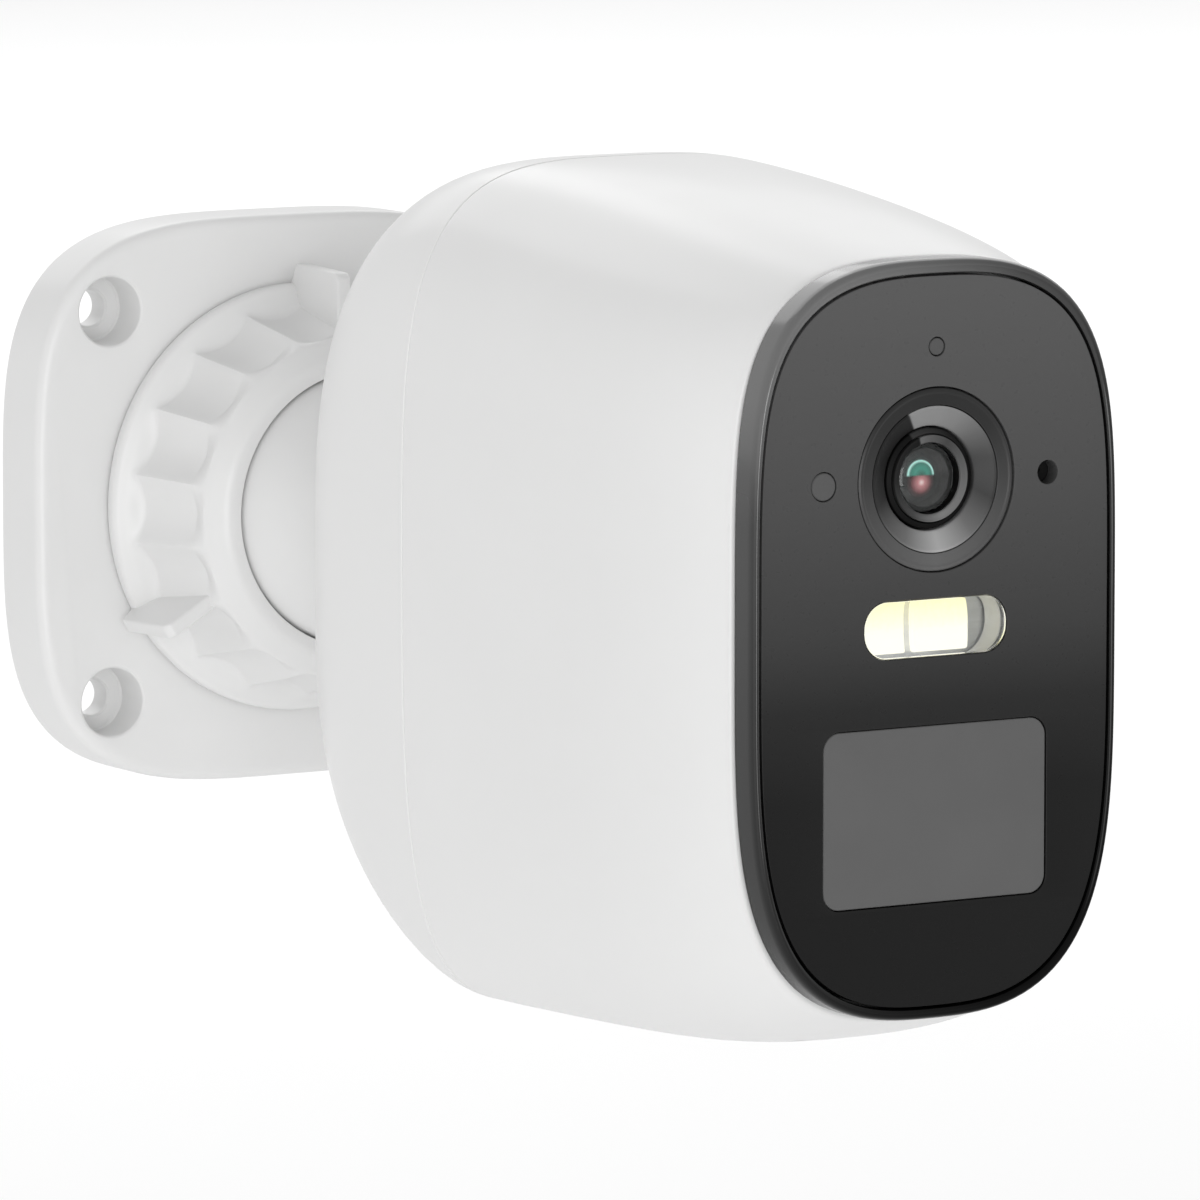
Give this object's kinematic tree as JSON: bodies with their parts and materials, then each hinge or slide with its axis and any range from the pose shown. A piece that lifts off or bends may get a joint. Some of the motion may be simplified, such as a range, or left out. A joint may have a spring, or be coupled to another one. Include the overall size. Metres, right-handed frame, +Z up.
{
  "type": "floodlight security camera",
  "caption": "Battery security camera with a small floodlight, on a round-cornered wall plate with a ball joint and a fluted locking collar.",
  "frame": {"origin": "centre of the wall plate's back face, on the wall", "axes": "+Y into the wall, -Y the way the camera looks, +Z up"},
  "size_m": [0.0686, 0.148, 0.0949],
  "materials": {
    "shell_white": "satin fine-grained white moulding",
    "mount_white": "satin white moulding",
    "gloss_black": "polished black",
    "panel_dark": "dark grey satin-gloss face",
    "matt_black": "matt black",
    "window_grey": "smoked grey infrared window",
    "clear_glass": "clear coated glass",
    "phosphor": "yellow phosphor",
    "reflector_white": "white reflector",
    "board_green": "solder mask",
    "steel": "plated steel",
    "aluminium": "bare aluminium board",
    "brass": "turned brass",
    "rubber_grey": "grey silicone rubber",
    "rubber_black": "black silicone rubber",
    "nylon": "natural nylon",
    "cell_wrap": "blue shrink wrap"
  },
  "bodies": {
    "wall_plate": {"wall_plate": "mount_white"},
    "clamp_ring": {"clamp_ring": "nylon"},
    "locking_collar": {"locking_collar": "mount_white"},
    "friction_cup": {"friction_cup": "nylon"},
    "ball_stud": {"ball_stud": "mount_white", "stud_screw": "steel"},
    "camera": {"mount_insert": "brass", "main_shell": "shell_white", "rear_cap": "shell_white", "body_seal": "rubber_black", "front_bezel": "gloss_black", "front_seal": "rubber_black", "front_panel": "panel_dark", "pir_window": "window_grey", "floodlight_window": "clear_glass", "status_light_window": "clear_glass", "light_sensor_window": "window_grey", "lens_trim_ring": "matt_black", "lens_barrel": "matt_black", "lens_front_element": "clear_glass", "lens_rear_element": "clear_glass", "lens_holder": "matt_black", "image_sensor": "matt_black", "sensor_board": "board_green", "floodlight_tray": "reflector_white", "floodlight_led_left": "phosphor", "floodlight_led_right": "phosphor", "floodlight_board": "aluminium", "pir_sensor": "steel", "microphone": "steel", "main_board": "board_green", "processor_shield": "steel", "card_socket": "steel", "wifi_antenna": "board_green", "speaker": "matt_black", "inner_frame": "matt_black", "frame_screw_1": "steel", "frame_screw_2": "steel", "frame_screw_3": "steel", "frame_screw_4": "steel", "battery_cell_left": "cell_wrap", "battery_cell_right": "cell_wrap", "battery_cradle": "matt_black", "port_board": "board_green", "usb_socket": "steel", "button_guide": "matt_black"},
    "ir_cut_filter": {"ir_cut_filter": "clear_glass"},
    "power_button": {"power_button": "rubber_grey"},
    "reset_button": {"reset_button": "rubber_grey"},
    "port_flap": {"port_flap": "rubber_grey"}
  },
  "joints": [
    {"name": "collar_advance", "type": "slide", "parent": "wall_plate", "child": "clamp_ring", "axis": [0, -1, 0], "range_m": [0, 0.0015]},
    {"name": "collar_turn", "type": "hinge", "parent": "clamp_ring", "child": "locking_collar", "pos_m": [0, -0.0203, 0], "axis": [0, -1, 0], "range_deg": [0, 135]},
    {"name": "ball_pan", "type": "hinge", "parent": "wall_plate", "child": "friction_cup", "pos_m": [0, -0.0203, 0], "axis": [0, 0, 1], "range_deg": [-35, 35]},
    {"name": "ball_tilt", "type": "hinge", "parent": "friction_cup", "child": "ball_stud", "pos_m": [0, -0.0203, 0], "axis": [-1, 0, 0], "range_deg": [-30, 30]},
    {"name": "camera_roll", "type": "hinge", "parent": "ball_stud", "child": "camera", "pos_m": [0, -0.0203, 0], "axis": [0, -1, 0], "continuous": true},
    {"name": "ir_cut_slide", "type": "slide", "parent": "camera", "child": "ir_cut_filter", "axis": [1, 0, 0], "range_m": [0, 0.006]},
    {"name": "power_press", "type": "slide", "parent": "camera", "child": "power_button", "axis": [0, 0, 1], "range_m": [0, 0.0005], "stiffness_N_per_m": 400},
    {"name": "reset_press", "type": "slide", "parent": "camera", "child": "reset_button", "axis": [0, 0, 1], "range_m": [0, 0.0005], "stiffness_N_per_m": 400},
    {"name": "flap_open", "type": "hinge", "parent": "camera", "child": "port_flap", "pos_m": [0, -0.1089, -0.0494], "axis": [-1, 0, 0], "range_deg": [0, 90]}
  ],
  "couplings": [
    {"joint": "collar_advance", "follows": "collar_turn", "m_per_rad": 0.0006366}
  ]
}
